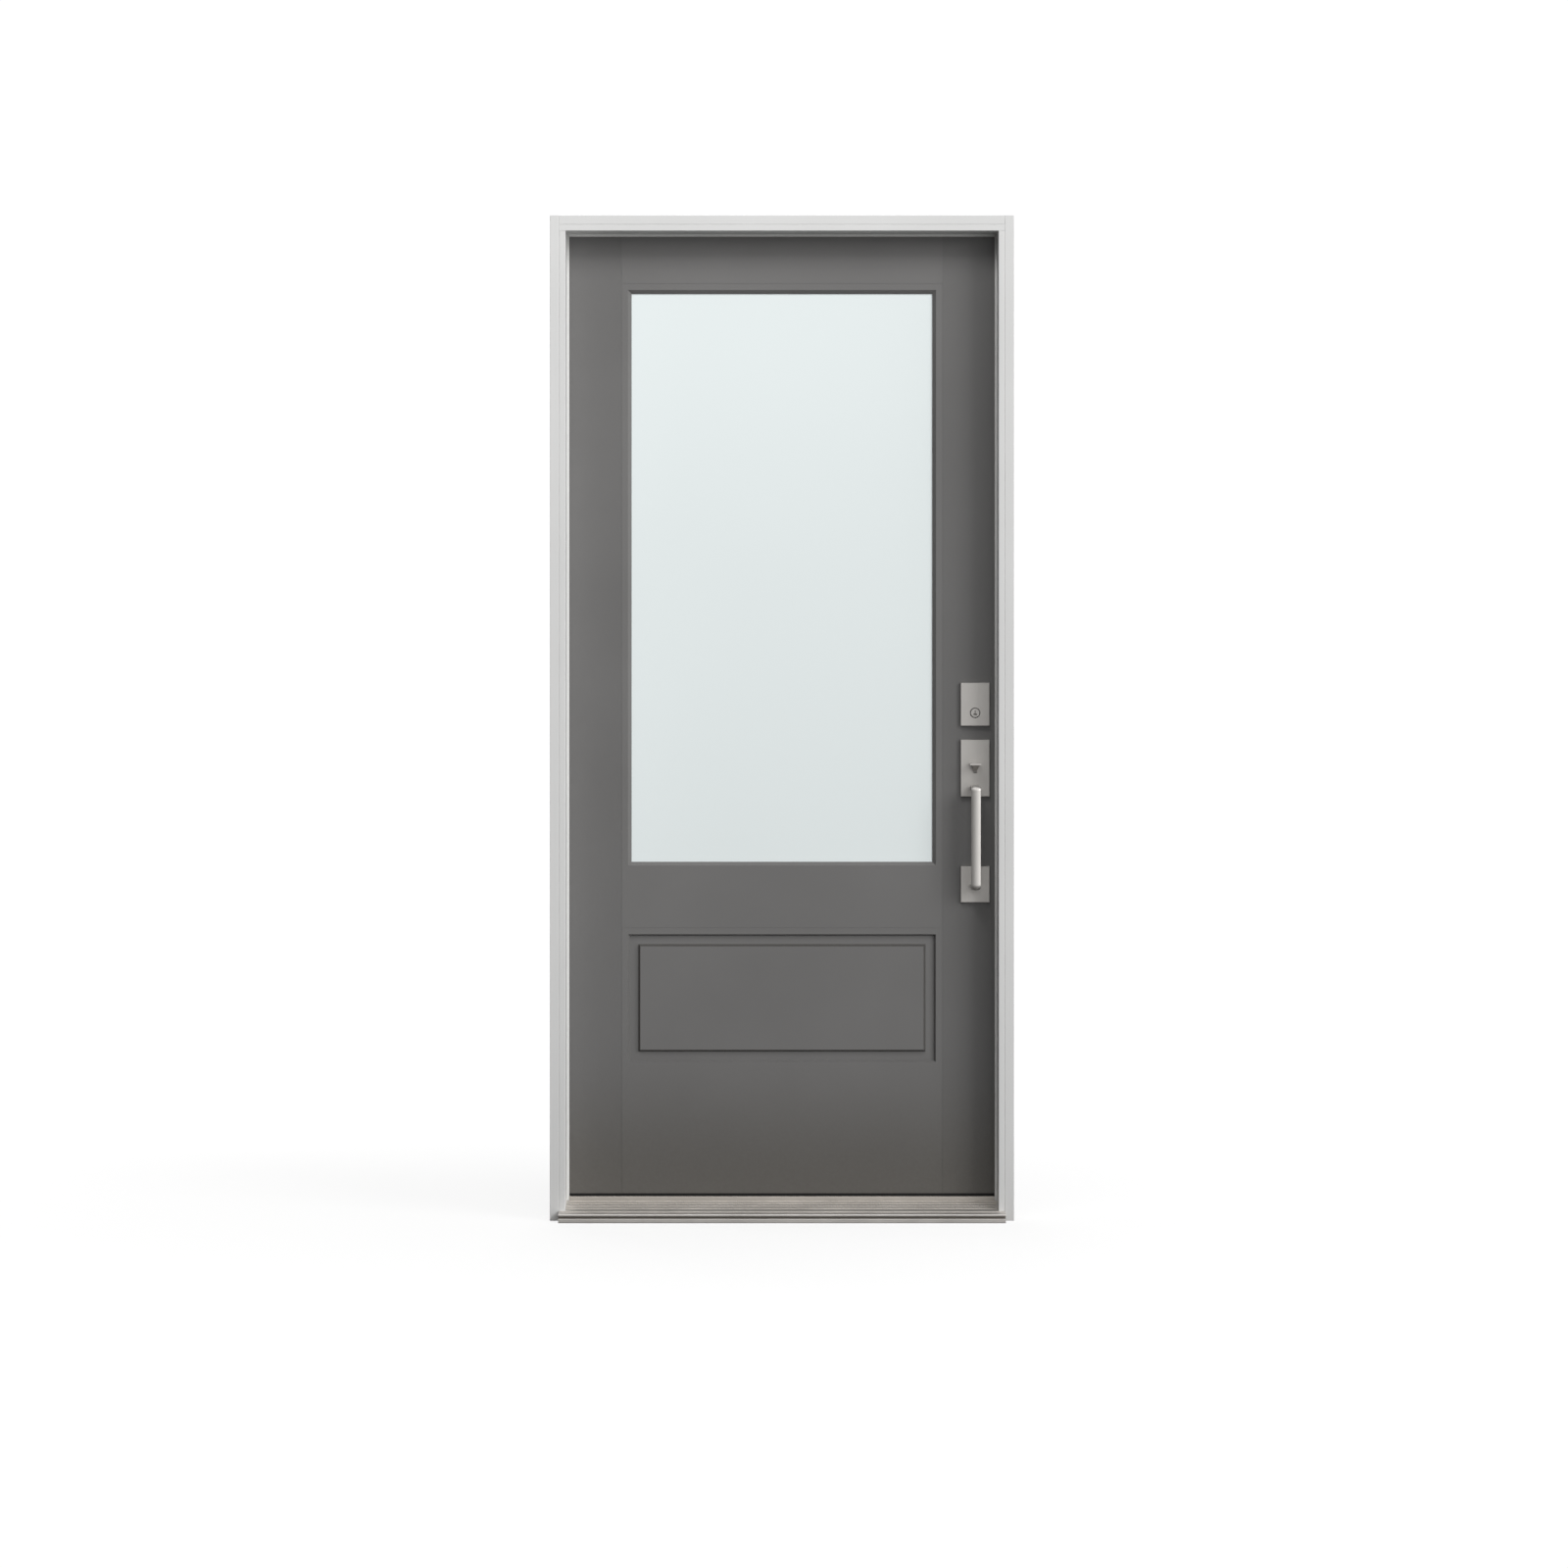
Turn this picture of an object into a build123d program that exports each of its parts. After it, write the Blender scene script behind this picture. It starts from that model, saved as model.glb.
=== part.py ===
from build123d import *
import math
import os

os.makedirs("parts", exist_ok=True)

# Frame boards: legs and head of flat stock with a separate stop planted on them
unit_width = 952.5
unit_height = 2063.0
frame_depth = 115.9
jamb_thickness = 19.05
stop_thickness = 12.7
rabbet_depth = 49.9
board_arris = 1.2

# Seals and running gaps
seal_thickness = 3.7
seal_reveal = 4.9
seal_round = 1.4
seal_clearance = 0.3
hinge_gap = 5.0
lock_gap = 5.1
head_gap = 5.0
running_clearance = 0.05

# Sill: ribbed tread, cap and core under them
sill_projection = 43.0
nose_height = 18.2
nose_rise = 2.0
nose_radius = 2.4
tread_rise = 14.3
tread_thickness = 4.0
riser_run = 1.0
cap_top = 43.0
cap_seat = 1.0
cap_toe = 1.0
cap_round = 1.5
nose_groove_height = 4.0
nose_groove_depth = 10.0
nose_lip_height = 9.0
nose_lip_radius = 1.4
rib_groove_count = 4
rib_pitch = 14.9
rib_groove_width = 7.0
rib_groove_depth = 2.2
first_groove_margin = 5.1
nose_top_groove = (-12.7, 12.0)

# Slab: two moulded skins on stiles, rails and a foam core
slab_thickness = 44.5
skin = 2.0
lock_bevel = 3.0
hinge_stile_width = 38.0
lock_stile_width = 110.0
top_rail_height = 38.0
bottom_rail_height = 60.0
sweep_height = 5.7
sweep_base = 2.0
sweep_depth = 36.0
sweep_fins = 3
sweep_fin_width = 3.0
joint_line_width = 1.4
joint_line_depth = 0.4
joint_line_margin = 125.6
upper_joint_margin = 109.75
lower_joint_rise = 12.8

# Raised panel in the lower part of each skin
panel_margin = 139.2
panel_height = 264.0
panel_foot = 320.5
panel_wall = 3.6
panel_depth = 8.0
panel_band = 17.8
panel_band_depth = 7.6
panel_slope = 3.2
panel_field_depth = 1.0

# Glazed opening: bevelled lip outside, bead inside, two panes on a spacer
lite_margin = 138.7
lite_head_margin = 122.35
lite_foot = 726.7
lite_lip = 7.4
lite_lip_depth = 6.0
lip_land = 4.0
pane_cover = 9.0
pane_clearance = 3.0
pane_thickness = 4.0
spacer_thickness = 12.0
spacer_width = 8.0
bead_flange_width = 12.0
bead_proud = 4.0
bead_bevel = 3.0
bead_clearance = 0.3

# Butt hinges, three of them, knuckles on the inner side
hinge_height = 101.6
hinge_leaf = 2.5
hinge_leaf_depth = 38.0
hinge_pin_radius = 3.125
hinge_offset = 6.6
hinge_knuckles = 5
knuckle_gap = 0.3
pin_head_height = 2.5
pin_tip_height = 2.0
upper_hinge_drop = 228.95
lower_hinge_rise = 331.0

# Lock and handle furniture, all on one upright line
lock_margin = 58.2
cylinder_centre = 1042.3
latch_drop = 139.7
plate_width = 59.7
plate_thickness = 9.0
plate_bevel = 0.8
deadbolt_plate_height = 89.1
deadbolt_plate_below = 27.0
handle_plate_height = 117.5
handle_plate_below = 33.3
foot_plate_height = 74.7
foot_plate_below = 26.9
housing_radius = 9.2
housing_length = 24.0
housing_proud = 1.2
housing_bevel = 0.5
ring_gap = 1.5
plug_radius = 6.3
plug_inset = 0.3
plug_length = 26.0
keyway_width = 1.8
keyway_height = 9.0
keyway_foot = (7.0, 3.0)
keyway_depth = 14.0
fit_clearance = 0.3

# Pull grip: a flat-backed bow between the two lower plates
grip_length = 215.1
grip_top_drop = 9.9
grip_width = 19.0
grip_thickness = 10.0
grip_crown = 2.0
grip_stand_off = 50.0
grip_corner = 6.0

# Thumb piece above the grip
thumb_rise = 36.0
thumb_width = 23.8
thumb_thickness = 4.5
thumb_reach = 34.0
thumb_seat_gap = 0.3
thumb_web_top = (16.0, 22.0)
thumb_web_foot = (6.0, 4.0)
thumb_pivot_drop = 17.1
thumb_pivot_inset = 1.2
thumb_hub_radius = 2.6
thumb_hub_width = 7.0
thumb_pin_radius = 1.2
thumb_recess_margin = 1.2
thumb_bevel = 1.0

# Edge plates, bolts and strikes
faceplate_height = 57.0
faceplate_width = 25.4
faceplate_thickness = 2.4
bolt_depth = 38.0
deadbolt_size = (15.9, 25.4)
latch_bolt_size = (13.0, 20.0)
bolt_bore_clearance = 0.4
strike_height = 70.0
strike_width = 28.6
strike_thickness = 1.8
strike_hole = (20.0, 32.0)

# Inner furniture
lever_spindle_radius = 9.5
lever_spindle_length = 40.0
lever_length = 118.0
lever_width = 20.0
lever_thickness = 11.0
lever_bevel = 2.5
turn_rose_radius = 15.0
turn_rose_height = 6.0
turn_width = 10.0
turn_length = 34.0
turn_height = 20.0
turn_bevel = 2.0

# Places worked out from the sizes above
jamb_face = unit_width / 2 - jamb_thickness
stop_face = jamb_face - stop_thickness
stop_depth = frame_depth - rabbet_depth
seal_reach = stop_face - seal_reveal
head_face = unit_height - jamb_thickness
head_stop_face = head_face - stop_thickness
slab_front = stop_depth + seal_thickness + seal_clearance
slab_back = slab_front + slab_thickness
slab_middle = slab_front + slab_thickness / 2
core_front = slab_front + skin
core_back = slab_back - skin
hinge_edge = -jamb_face + hinge_gap
slab_top = head_face - head_gap
slab_bottom = cap_top + seal_clearance + sweep_height
riser_depth = stop_depth - riser_run
nose_slope = nose_rise / sill_projection
tread_slope = tread_rise / riser_depth
tread_front_top = nose_height + nose_rise
tread_back_top = tread_front_top + tread_rise
cap_bottom = tread_back_top - cap_seat
cap_toe_top = tread_back_top + cap_toe
hinge_axis_x = -jamb_face + hinge_gap / 2
hinge_axis_y = frame_depth + hinge_offset
knuckle_radius = hinge_pin_radius + running_clearance + hinge_leaf
hinge_upper = slab_top - upper_hinge_drop
hinge_lower = slab_bottom + lower_hinge_rise
hinge_centres = {
    "upper": hinge_upper,
    "middle": (hinge_upper + hinge_lower) / 2,
    "lower": hinge_lower,
}
joint_line_x = jamb_face - joint_line_margin
upper_joint_z = slab_top - upper_joint_margin
lower_joint_z = panel_foot + panel_height + lower_joint_rise
panel_width = 2 * (jamb_face - panel_margin)
panel_centre = panel_foot + panel_height / 2
lite_width = 2 * (jamb_face - lite_margin)
lite_height = slab_top - lite_head_margin - lite_foot
lite_centre = lite_foot + lite_height / 2
lock_line = jamb_face - lock_margin
latch_centre = cylinder_centre - latch_drop
deadbolt_plate_foot = cylinder_centre - deadbolt_plate_below
handle_plate_foot = latch_centre - handle_plate_below
grip_high = latch_centre - grip_top_drop
grip_low = grip_high - grip_length
thumb_top = latch_centre + thumb_rise
thumb_pivot_height = thumb_top - thumb_pivot_drop
plate_face = slab_front - plate_thickness
glass_width = lite_width - 2 * lite_lip
glass_height = lite_height - 2 * lite_lip
pane_width = glass_width + 2 * pane_cover
pane_height = glass_height + 2 * pane_cover
cut_width = pane_width + 2 * pane_clearance
cut_height = pane_height + 2 * pane_clearance
pane_front = slab_front + lite_lip_depth + skin
spacer_front = pane_front + pane_thickness
inner_pane_front = spacer_front + spacer_thickness
bead_front = inner_pane_front + pane_thickness
outside = Plane((0, slab_front, 0), x_dir=(-1, 0, 0), z_dir=(0, 1, 0))
inside = Plane((0, slab_back, 0), x_dir=(1, 0, 0), z_dir=(0, -1, 0))


def lock_edge(y):
    """Side of the slab at the lock, which slants in towards the outside face."""
    return jamb_face - lock_gap - (slab_back - y) * math.tan(math.radians(lock_bevel))


def tread_top(y):
    """Height of the tread, nearly level in front of the frame's face and steeper behind it."""
    return tread_front_top + y * (tread_slope if y > 0 else nose_slope)


def block(x_span, y_span, z_span, mode=Mode.ADD):
    """Adds or cuts a square block between two values on each axis."""
    spans = (x_span, y_span, z_span)
    with Locations(tuple((low + high) / 2 for low, high in spans)):
        Box(*(high - low for low, high in spans), mode=mode)


def board(x_span, y_span, z_span, grain):
    """Makes a board with eased long edges, drawn across its grain axis and extruded along it."""
    spans = {"X": x_span, "Y": y_span, "Z": z_span}
    start = spans[grain][0]
    plane = Plane.YZ.offset(start) if grain == "X" else Plane.XY.offset(start)
    across = (y_span, z_span) if grain == "X" else (x_span, y_span)
    with BuildSketch(plane) as section:
        with Locations(tuple((low + high) / 2 for low, high in across)):
            Rectangle(*(high - low for low, high in across))
        fillet(vertices(), board_arris)
    extrude(section.sketch, amount=spans[grain][1] - start)


def taper(face, centre, sections, mode):
    """Lofts straight-sided through rectangles, each given as depth, width and height."""
    outlines = []
    for depth, width, height in sections:
        with BuildSketch(face.offset(depth)) as outline:
            with Locations((0, centre)):
                Rectangle(width, height)
        outlines.append(outline.sketch)
    loft(outlines, ruled=True, mode=mode)


def panel_tray(face, grow, mode):
    """Outer wall of the panel's sunk border, grown outwards and deeper by one amount."""
    floor = 2 * (panel_wall - grow)
    sections = (
        (0, panel_width + 2 * grow, panel_height + 2 * grow),
        (panel_depth + grow, panel_width - floor, panel_height - floor),
    )
    taper(face, panel_centre, sections, mode)


def panel_field(face, shrink, mode):
    """Raised field inside the border, with its sloping band, made smaller and deeper."""
    sections = []
    for depth, inset in (
        (panel_depth, panel_wall),
        (panel_band_depth, panel_wall + panel_band),
        (panel_field_depth, panel_wall + panel_band + panel_slope),
    ):
        cut = 2 * (inset + shrink)
        sections.append((depth + shrink, panel_width - cut, panel_height - cut))
    taper(face, panel_centre, sections, mode)


def moulded_skin(face, y_span):
    """Sheet with its raised panel pressed in, to the slab's outline with the slanted lock edge."""
    near, far = y_span
    with BuildSketch(Plane.XY.offset(slab_bottom)) as sheet:
        with BuildLine():
            Polyline(
                (hinge_edge, near),
                (lock_edge(near), near),
                (lock_edge(far), far),
                (hinge_edge, far),
                close=True,
            )
        make_face()
    extrude(sheet.sketch, amount=slab_top - slab_bottom)
    panel_tray(face, skin, Mode.ADD)
    panel_tray(face, 0, Mode.SUBTRACT)
    panel_field(face, 0, Mode.ADD)
    panel_field(face, skin, Mode.SUBTRACT)
    with BuildSketch(face) as joint_lines:
        for x in (-joint_line_x, joint_line_x):
            with Locations((x, (slab_bottom + slab_top) / 2)):
                Rectangle(joint_line_width, slab_top - slab_bottom)
        for z in (lower_joint_z, upper_joint_z):
            with Locations((0, z)):
                Rectangle(2 * joint_line_x, joint_line_width)
    extrude(joint_lines.sketch, amount=joint_line_depth, mode=Mode.SUBTRACT)


def ring(plane, centre, outer, inner, amount):
    """Rectangular ring given by its two sizes, extruded from a plane."""
    with BuildSketch(plane) as outline:
        with Locations((0, centre)):
            Rectangle(*outer)
            Rectangle(*inner, mode=Mode.SUBTRACT)
    extrude(outline.sketch, amount=amount)


# Legs of the frame, full height, with mortises for the hinges and strikes
with BuildPart() as hinge_jamb:
    board((-unit_width / 2, -jamb_face), (0, frame_depth), (0, unit_height), "Z")
    for centre in hinge_centres.values():
        block(
            (-jamb_face - hinge_leaf, -jamb_face + board_arris),
            (slab_back - hinge_leaf_depth, frame_depth),
            (centre - hinge_height / 2, centre + hinge_height / 2),
            Mode.SUBTRACT,
        )
hinge_jamb.part.label = "hinge_jamb"
export_step(hinge_jamb.part, "parts/hinge_jamb.step")

with BuildPart() as strike_jamb:
    board((jamb_face, unit_width / 2), (0, frame_depth), (0, unit_height), "Z")
    for centre in (cylinder_centre, latch_centre):
        block(
            (jamb_face, jamb_face + strike_thickness),
            (slab_middle - strike_width / 2, slab_middle + strike_width / 2),
            (centre - strike_height / 2, centre + strike_height / 2),
            Mode.SUBTRACT,
        )
        block(
            (jamb_face, unit_width / 2),
            (slab_middle - strike_hole[0] / 2, slab_middle + strike_hole[0] / 2),
            (centre - strike_hole[1] / 2, centre + strike_hole[1] / 2),
            Mode.SUBTRACT,
        )
strike_jamb.part.label = "strike_jamb"
export_step(strike_jamb.part, "parts/strike_jamb.step")

# Head between the legs, with its stop; the leg stops butt up under the head stop
with BuildPart() as head_jamb:
    board((-jamb_face, jamb_face), (0, frame_depth), (head_face, unit_height), "X")
head_jamb.part.label = "head_jamb"
export_step(head_jamb.part, "parts/head_jamb.step")

with BuildPart() as head_stop:
    board((-jamb_face, jamb_face), (0, stop_depth), (head_stop_face, head_face), "X")
head_stop.part.label = "head_stop"
export_step(head_stop.part, "parts/head_stop.step")

# Leg stops stand on the tread, so their feet are cut to its slope
for side, name in ((-1, "hinge_stop"), (1, "strike_stop")):
    x_span = sorted((side * jamb_face, side * stop_face))
    with BuildPart() as leg_stop:
        board(x_span, (0, stop_depth), (0, head_stop_face), "Z")
        with BuildSketch(Plane.YZ.offset(x_span[0])):
            with BuildLine():
                Polyline(
                    (-1, -1),
                    (stop_depth + 1, -1),
                    (stop_depth + 1, cap_bottom),
                    (riser_depth, cap_bottom),
                    (riser_depth, tread_back_top),
                    (0, tread_front_top),
                    (-1, tread_front_top),
                    close=True,
                )
            make_face()
        extrude(amount=stop_thickness, mode=Mode.SUBTRACT)
    leg_stop.part.label = name
    export_step(leg_stop.part, f"parts/{name}.step")

# Sill core of composite, shaped to the underside of the tread and cap
core_nose = -sill_projection + nose_groove_depth + tread_thickness
with BuildPart() as sill_core:
    with BuildSketch(Plane.YZ.offset(-jamb_face)):
        with BuildLine():
            Polyline(
                (core_nose, 0),
                (frame_depth, 0),
                (frame_depth, cap_bottom),
                (riser_depth, cap_bottom),
                (riser_depth, tread_back_top - tread_thickness),
                (0, tread_front_top - tread_thickness),
                (core_nose, tread_top(core_nose) - tread_thickness),
                close=True,
            )
        make_face()
    extrude(amount=2 * jamb_face)
sill_core.part.label = "sill_core"
export_step(sill_core.part, "parts/sill_core.step")

# Tread: one extrusion with ribbed slope, rounded nose, shadow groove and front lip
with BuildPart() as sill_tread:
    with BuildSketch(Plane.YZ.offset(-jamb_face)):
        front = -sill_projection
        groove_top = nose_lip_height + nose_groove_height
        with BuildLine():
            Polyline(
                (front, 0),
                (core_nose, 0),
                (core_nose, tread_top(core_nose) - tread_thickness),
                (0, tread_front_top - tread_thickness),
                (riser_depth, tread_back_top - tread_thickness),
                (riser_depth, tread_back_top),
                (0, tread_front_top),
                (front, nose_height),
                (front, groove_top),
                (front + nose_groove_depth, groove_top),
                (front + nose_groove_depth, nose_lip_height),
                (front, nose_lip_height),
                close=True,
            )
        make_face()
        for low, high, radius in (
            (groove_top, nose_height, nose_radius),
            (0, nose_lip_height, nose_lip_radius),
        ):
            nose = vertices().filter_by_position(Axis.X, front - 0.1, front + 0.1)
            fillet(nose.filter_by_position(Axis.Y, low - 0.1, high + 0.1), radius)
        grooves = [
            (riser_depth - first_groove_margin - groove * rib_pitch, rib_groove_width, tread_slope)
            for groove in range(rib_groove_count)
        ]
        for y, width, slope in (*grooves, (*nose_top_groove, nose_slope)):
            with Locations((y, tread_top(y))):
                Rectangle(
                    width,
                    2 * rib_groove_depth,
                    rotation=math.degrees(math.atan(slope)),
                    mode=Mode.SUBTRACT,
                )
    extrude(amount=2 * jamb_face)
sill_tread.part.label = "sill_tread"
export_step(sill_tread.part, "parts/sill_tread.step")

# Cap under the slab, with a steep front that rises from the tread, notched round the seals
with BuildPart() as sill_cap:
    with BuildSketch(Plane.YZ.offset(-jamb_face)):
        with BuildLine():
            Polyline(
                (riser_depth, cap_bottom),
                (frame_depth, cap_bottom),
                (frame_depth, cap_top),
                (riser_depth + riser_run, cap_top),
                (riser_depth, cap_toe_top),
                close=True,
            )
        make_face()
        top = vertices().filter_by_position(Axis.Y, cap_top - 0.1, cap_top + 0.1)
        fillet(top, cap_round)
    extrude(amount=2 * jamb_face)
    for side in (-1, 1):
        block(
            sorted((side * seal_reach, side * jamb_face)),
            (riser_depth, stop_depth + seal_thickness),
            (cap_bottom, cap_top),
            Mode.SUBTRACT,
        )
sill_cap.part.label = "sill_cap"
export_step(sill_cap.part, "parts/sill_cap.step")

# Foam seals in the corner of the stops, rounded on the edge that shows
for side, name in ((-1, "hinge_seal"), (1, "strike_seal")):
    x_span = sorted((side * jamb_face, side * seal_reach))
    with BuildPart() as leg_seal:
        with BuildSketch(Plane.XY.offset(cap_bottom)):
            with Locations((sum(x_span) / 2, stop_depth + seal_thickness / 2)):
                Rectangle(x_span[1] - x_span[0], seal_thickness)
            corners = vertices().sort_by(Axis.X)
            fillet(corners[-2:] if side < 0 else corners[:2], seal_round)
        extrude(amount=head_face - cap_bottom)
    leg_seal.part.label = name
    export_step(leg_seal.part, f"parts/{name}.step")

with BuildPart() as head_seal:
    with BuildSketch(Plane.YZ.offset(-seal_reach)):
        low = head_stop_face - seal_reveal
        with Locations((stop_depth + seal_thickness / 2, (low + head_face) / 2)):
            Rectangle(seal_thickness, head_face - low)
        fillet(vertices().sort_by(Axis.Y)[:2], seal_round)
    extrude(amount=2 * seal_reach)
head_seal.part.label = "head_seal"
export_step(head_seal.part, "parts/head_seal.step")

# Strike plates let into the leg, each with a hole for its bolt
for name, centre in (("deadbolt_strike", cylinder_centre), ("latch_strike", latch_centre)):
    with BuildPart() as strike:
        with BuildSketch(Plane.YZ.offset(jamb_face)):
            with Locations((slab_middle, centre)):
                Rectangle(strike_width, strike_height)
                Rectangle(*strike_hole, mode=Mode.SUBTRACT)
        extrude(amount=strike_thickness)
    strike.part.label = name
    export_step(strike.part, f"parts/{name}.step")

# Butt hinges: each leaf is a plate with its own knuckles round a fixed pin
knuckle_pitch = hinge_height / hinge_knuckles
for name, centre in hinge_centres.items():
    foot = centre - hinge_height / 2
    for leaf_name, side, first in (("frame", -1, 0), ("door", 1, 1)):
        near = hinge_axis_x + side * hinge_gap / 2
        far = near + side * hinge_leaf
        x_span = sorted((near, far))
        with BuildPart() as leaf:
            block(
                x_span,
                (slab_back - hinge_leaf_depth, hinge_axis_y - knuckle_radius - knuckle_gap),
                (foot, foot + hinge_height),
            )
            for knuckle in range(first, hinge_knuckles, 2):
                low = foot + knuckle * knuckle_pitch + knuckle_gap / 2
                height = knuckle_pitch - knuckle_gap
                block(x_span, (slab_back, hinge_axis_y), (low, low + height))
                with BuildSketch(Plane.XY.offset(low)):
                    with Locations((hinge_axis_x, hinge_axis_y)):
                        Circle(knuckle_radius)
                extrude(amount=height)
            with BuildSketch(Plane.XY.offset(foot)):
                with Locations((hinge_axis_x, hinge_axis_y)):
                    Circle(hinge_pin_radius + running_clearance)
            extrude(amount=hinge_height, mode=Mode.SUBTRACT)
        leaf.part.label = f"{name}_hinge_{leaf_name}_leaf"
        export_step(leaf.part, f"parts/{leaf.part.label}.step")

with BuildPart() as hinge_pins:
    for centre in hinge_centres.values():
        top = centre + hinge_height / 2
        with BuildSketch(Plane.XY.offset(top - hinge_height - pin_tip_height)):
            with Locations((hinge_axis_x, hinge_axis_y)):
                Circle(hinge_pin_radius)
        extrude(amount=hinge_height + pin_tip_height)
        with BuildSketch(Plane.XY.offset(top)):
            with Locations((hinge_axis_x, hinge_axis_y)):
                Circle(knuckle_radius)
        extrude(amount=pin_head_height)
hinge_pins.part.label = "hinge_pins"
export_step(hinge_pins.part, "parts/hinge_pins.step")

# Slab skins: the outer one turns in round the glass, the inner one is cut for the bead
with BuildPart() as exterior_skin:
    moulded_skin(outside, (slab_front, core_front))
    lip_sections = (
        (skin / 2, lite_width + 2 * skin, lite_height + 2 * skin),
        (lite_lip_depth + skin, glass_width + 2 * lip_land, glass_height + 2 * lip_land),
    )
    taper(outside, lite_centre, lip_sections, Mode.ADD)
    bevel_sections = (
        (0, lite_width, lite_height),
        (lite_lip_depth, glass_width, glass_height),
    )
    taper(outside, lite_centre, bevel_sections, Mode.SUBTRACT)
    with BuildSketch(outside):
        with Locations((0, lite_centre)):
            Rectangle(glass_width, glass_height)
    extrude(amount=lite_lip_depth + skin, mode=Mode.SUBTRACT)
    with BuildSketch(outside):
        with Locations((-lock_line, cylinder_centre)):
            Circle(housing_radius + fit_clearance)
    extrude(amount=skin, mode=Mode.SUBTRACT)
exterior_skin.part.label = "exterior_skin"
export_step(exterior_skin.part, "parts/exterior_skin.step")

with BuildPart() as interior_skin:
    moulded_skin(inside, (core_back, slab_back))
    with BuildSketch(inside):
        with Locations((0, lite_centre)):
            Rectangle(cut_width, cut_height)
    extrude(amount=skin, mode=Mode.SUBTRACT)
    for centre in hinge_centres.values():
        block(
            (hinge_edge, hinge_edge + hinge_leaf),
            (core_back, slab_back),
            (centre - hinge_height / 2, centre + hinge_height / 2),
            Mode.SUBTRACT,
        )
interior_skin.part.label = "interior_skin"
export_step(interior_skin.part, "parts/interior_skin.step")

# Timber stiles and rails between the skins
hinge_stile_edge = hinge_edge + hinge_stile_width
lock_stile_edge = lock_edge(slab_middle) - lock_stile_width
with BuildPart() as hinge_stile:
    block((hinge_edge, hinge_stile_edge), (core_front, core_back), (slab_bottom, slab_top))
    for centre in hinge_centres.values():
        block(
            (hinge_edge, hinge_edge + hinge_leaf),
            (slab_back - hinge_leaf_depth, core_back),
            (centre - hinge_height / 2, centre + hinge_height / 2),
            Mode.SUBTRACT,
        )
hinge_stile.part.label = "hinge_stile"
export_step(hinge_stile.part, "parts/hinge_stile.step")

# Plane on the slanted lock edge, facing into the slab, with its second axis upright
slant = math.radians(lock_bevel)
edge_normal = (-math.cos(slant), math.sin(slant), 0)


def edge_plane(z):
    """Plane on the lock edge at a height, with its normal into the slab."""
    return Plane(
        (lock_edge(slab_middle), slab_middle, z),
        x_dir=(-math.sin(slant), -math.cos(slant), 0),
        z_dir=edge_normal,
    )


bolts = (
    ("deadbolt", cylinder_centre, deadbolt_size),
    ("latch", latch_centre, latch_bolt_size),
)
with BuildPart() as lock_stile:
    with BuildSketch(Plane.XY.offset(slab_bottom)):
        with BuildLine():
            Polyline(
                (lock_stile_edge, core_front),
                (lock_edge(core_front), core_front),
                (lock_edge(core_back), core_back),
                (lock_stile_edge, core_back),
                close=True,
            )
        make_face()
    extrude(amount=slab_top - slab_bottom)
    for name, centre, size in bolts:
        with BuildSketch(edge_plane(centre)):
            Rectangle(faceplate_width, faceplate_height)
        extrude(amount=faceplate_thickness, mode=Mode.SUBTRACT)
        with BuildSketch(edge_plane(centre)):
            Rectangle(*(side + 2 * bolt_bore_clearance for side in size))
        extrude(amount=bolt_depth + bolt_bore_clearance, mode=Mode.SUBTRACT)
    with BuildSketch(outside.offset(skin)):
        with Locations((-lock_line, cylinder_centre)):
            Circle(housing_radius + fit_clearance)
    extrude(amount=housing_length, mode=Mode.SUBTRACT)
lock_stile.part.label = "lock_stile"
export_step(lock_stile.part, "parts/lock_stile.step")

for name, z_span in (
    ("top_rail", (slab_top - top_rail_height, slab_top)),
    ("bottom_rail", (slab_bottom, slab_bottom + bottom_rail_height)),
):
    with BuildPart() as rail:
        block((hinge_stile_edge, lock_stile_edge), (core_front, core_back), z_span)
    rail.part.label = name
    export_step(rail.part, f"parts/{name}.step")

# Foam core, pressed to the backs of both panels and cut through for the glass
with BuildPart() as foam_core:
    block(
        (hinge_stile_edge, lock_stile_edge),
        (core_front, core_back),
        (slab_bottom + bottom_rail_height, slab_top - top_rail_height),
    )
    for face in (outside, inside):
        panel_tray(face, skin, Mode.SUBTRACT)
        panel_field(face, skin, Mode.ADD)
    block(
        (-cut_width / 2, cut_width / 2),
        (core_front, core_back),
        (lite_centre - cut_height / 2, lite_centre + cut_height / 2),
        Mode.SUBTRACT,
    )
foam_core.part.label = "foam_core"
export_step(foam_core.part, "parts/foam_core.step")

# Sealed glass unit: two panes with a spacer round their edges
with BuildPart() as glass_panes:
    for front in (pane_front, inner_pane_front):
        block(
            (-pane_width / 2, pane_width / 2),
            (front, front + pane_thickness),
            (lite_centre - pane_height / 2, lite_centre + pane_height / 2),
        )
glass_panes.part.label = "glass_panes"
export_step(glass_panes.part, "parts/glass_panes.step")

with BuildPart() as glass_spacer:
    hollow = (pane_width - 2 * spacer_width, pane_height - 2 * spacer_width)
    start = outside.offset(spacer_front - slab_front)
    ring(start, lite_centre, (pane_width, pane_height), hollow, spacer_thickness)
glass_spacer.part.label = "glass_spacer"
export_step(glass_spacer.part, "parts/glass_spacer.step")

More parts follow.
